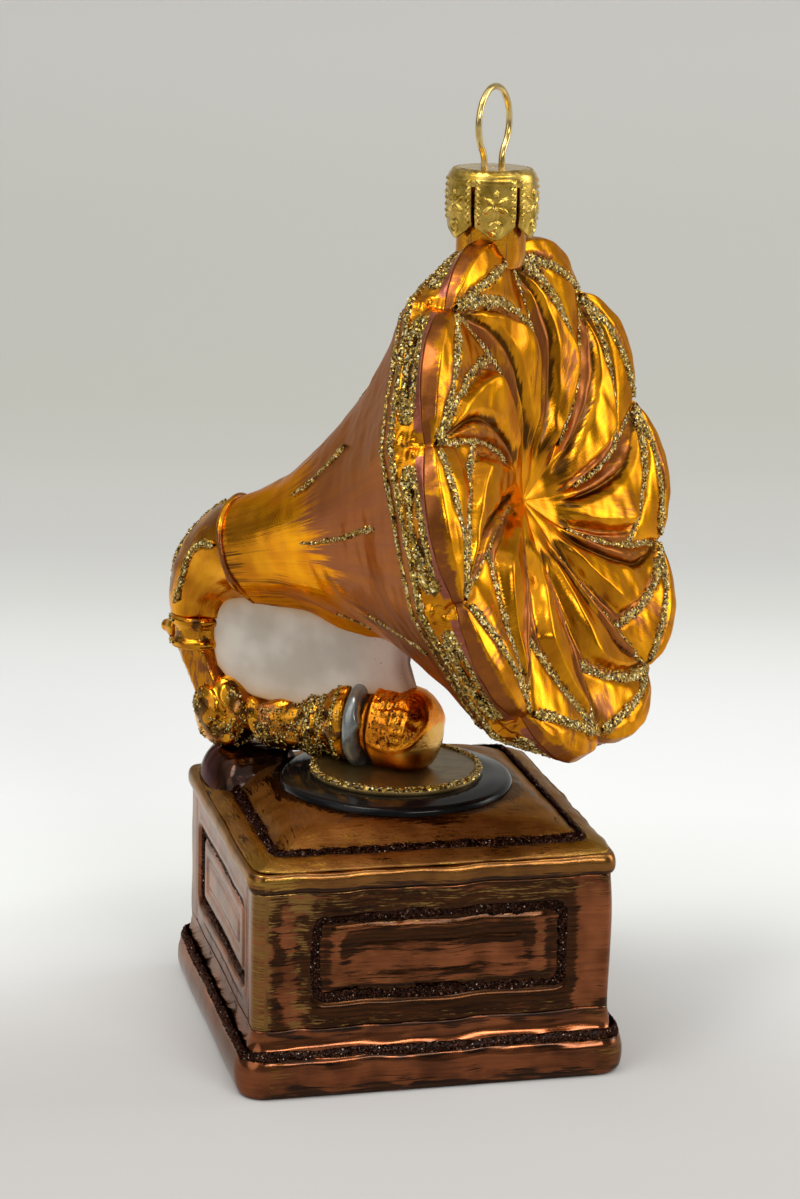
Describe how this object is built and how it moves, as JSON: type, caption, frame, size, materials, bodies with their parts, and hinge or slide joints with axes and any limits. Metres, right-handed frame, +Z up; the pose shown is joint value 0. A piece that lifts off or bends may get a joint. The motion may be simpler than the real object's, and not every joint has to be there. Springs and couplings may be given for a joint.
{
  "type": "gramophone ornament",
  "caption": "Blown-glass hanging ornament shaped like a horn gramophone: panelled case with a record on its lid, tone arm, elbow and scalloped bell, with a stamped cap and a wire loop.",
  "frame": {"origin": "middle of the case's flat underside, where the ornament stands", "axes": "+Z up through the case to the hanger; the case's walls face +X, -X, +Y and -Y, and the wall seen from the front faces -Y; the horn points up and out over the corner between +X and -Y, 40 degrees round from +X"},
  "size_m": [0.0663, 0.0643, 0.123],
  "materials": {
    "copper_lacquer": "mirror-silvered inside, brushed copper lacquer outside, glossy",
    "olive_lacquer": "mirror-silvered inside, brushed olive-gold lacquer outside, glossy",
    "black_lacquer": "glossy black lacquer",
    "gold_label": "satin gold lacquer",
    "amber_lacquer": "mirror-silvered inside, transparent amber lacquer outside",
    "rose_lacquer": "mirror-silvered inside, satin rose-brown lacquer brushed over amber",
    "grey_lacquer": "satin grey lacquer",
    "frosted_lacquer": "frosted white, satin",
    "gilt_sheet": "stamped gilt sheet, bright",
    "gilt_wire": "bright gilt spring wire",
    "gold_glitter": "gold glitter grains in clear glue",
    "brown_glitter": "dark brown glitter grains in clear glue"
  },
  "bodies": {
    "glass": {"plinth": "copper_lacquer", "case": "copper_lacquer", "cornice": "olive_lacquer", "lid": "olive_lacquer", "record": "black_lacquer", "record_label": "gold_label", "arm_foot": "olive_lacquer", "arm_ball": "amber_lacquer", "tone_arm": "amber_lacquer", "sound_box_ring": "grey_lacquer", "sound_box": "amber_lacquer", "riser": "rose_lacquer", "collar": "amber_lacquer", "elbow": "amber_lacquer", "throat_ring": "rose_lacquer", "horn": "rose_lacquer", "bell_band": "amber_lacquer", "bell_face": "amber_lacquer", "web": "frosted_lacquer", "neck": "rose_lacquer", "plinth_glitter": "brown_glitter", "panel_glitter": "brown_glitter", "lid_glitter": "brown_glitter", "label_glitter": "gold_glitter", "arm_glitter": "gold_glitter", "elbow_glitter": "gold_glitter", "horn_glitter": "gold_glitter", "edge_glitter": "gold_glitter", "band_glitter": "gold_glitter", "rim_glitter": "gold_glitter", "petal_glitter": "gold_glitter"},
    "cap": {"cap": "gilt_sheet"},
    "hanger": {"hanger": "gilt_wire"}
  },
  "joints": [
    {"name": "cap_lift", "type": "slide", "parent": "glass", "child": "cap", "axis": [0, 0, 1], "range_m": [0, 0.022]},
    {"name": "hanger_draw", "type": "slide", "parent": "cap", "child": "hanger", "axis": [0, 0, 1], "range_m": [0, 0.015]}
  ]
}
